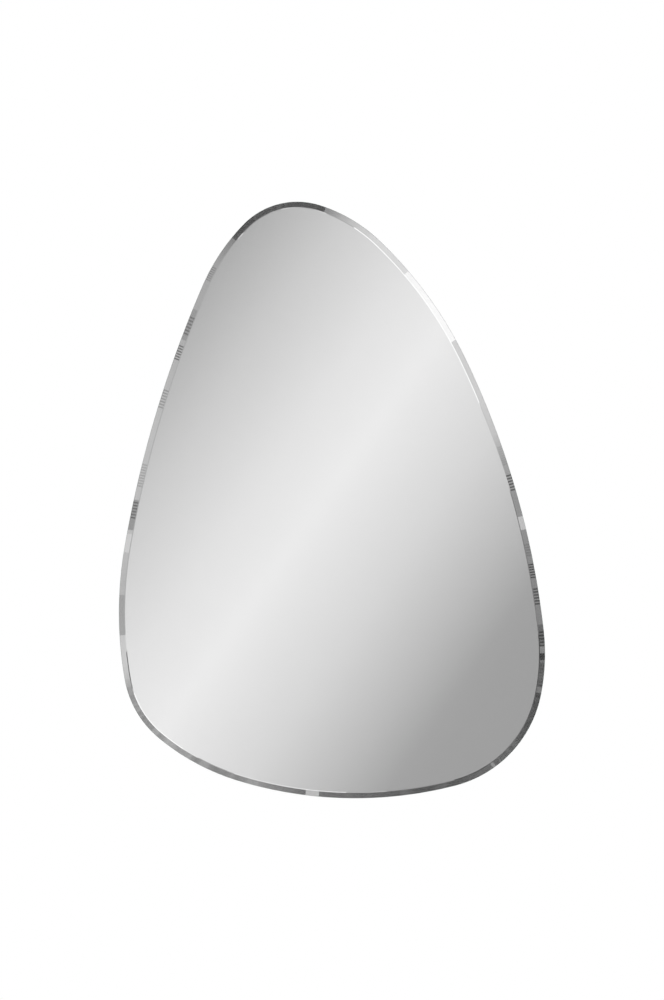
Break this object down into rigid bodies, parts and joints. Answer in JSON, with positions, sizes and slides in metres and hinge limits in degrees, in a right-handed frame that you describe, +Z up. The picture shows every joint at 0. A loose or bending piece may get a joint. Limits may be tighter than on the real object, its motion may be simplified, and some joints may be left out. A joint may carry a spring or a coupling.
{
  "type": "irregular shaped wall mirror",
  "caption": "Frameless wall mirror with an irregular rounded outline and a bevelled edge, backed by a board with pads and folding ring hangers.",
  "frame": {"origin": "centre of the outline's bounding rectangle, in the plane of the wall, which the ends of the four pads touch", "axes": "+Z up as hung, +X to the right as seen from the front, +Y from the glass towards the wall; the mirror faces -Y"},
  "size_m": [0.4999, 0.0213, 0.7],
  "materials": {
    "float_glass": "polished, with a ground and polished bevel",
    "silvering": "silvered, with a grey protective paint on the back",
    "backing_film": "matt grey safety film with a fine woven scrim",
    "foam_tape": "white closed-cell foam",
    "fibreboard": "raw medium-density fibreboard",
    "plated_steel": "zinc plated",
    "ring_steel": "nickel plated wire",
    "pad_rubber": "matt black"
  },
  "bodies": {
    "mirror": {"glass": "float_glass", "silver_coat": "silvering", "safety_film": "backing_film", "tape_strip_1": "foam_tape", "tape_strip_2": "foam_tape", "tape_strip_3": "foam_tape", "tape_strip_4": "foam_tape", "tape_strip_5": "foam_tape", "backing_board": "fibreboard", "upper_right_pad": "pad_rubber", "upper_left_pad": "pad_rubber", "lower_left_pad": "pad_rubber", "lower_right_pad": "pad_rubber", "left_hanger_strap": "plated_steel", "right_hanger_strap": "plated_steel", "hanger_screws": "plated_steel"},
    "left_ring": {"left_ring": "ring_steel"},
    "right_ring": {"right_ring": "ring_steel"}
  },
  "joints": [
    {"name": "left_ring_hinge", "type": "hinge", "parent": "mirror", "child": "left_ring", "pos_m": [-0.11514, -0.00342, 0.105], "axis": [1, 0, 0], "range_deg": [0, 177]},
    {"name": "right_ring_hinge", "type": "hinge", "parent": "mirror", "child": "right_ring", "pos_m": [0.10486, -0.00342, 0.105], "axis": [1, 0, 0], "range_deg": [0, 177]}
  ]
}
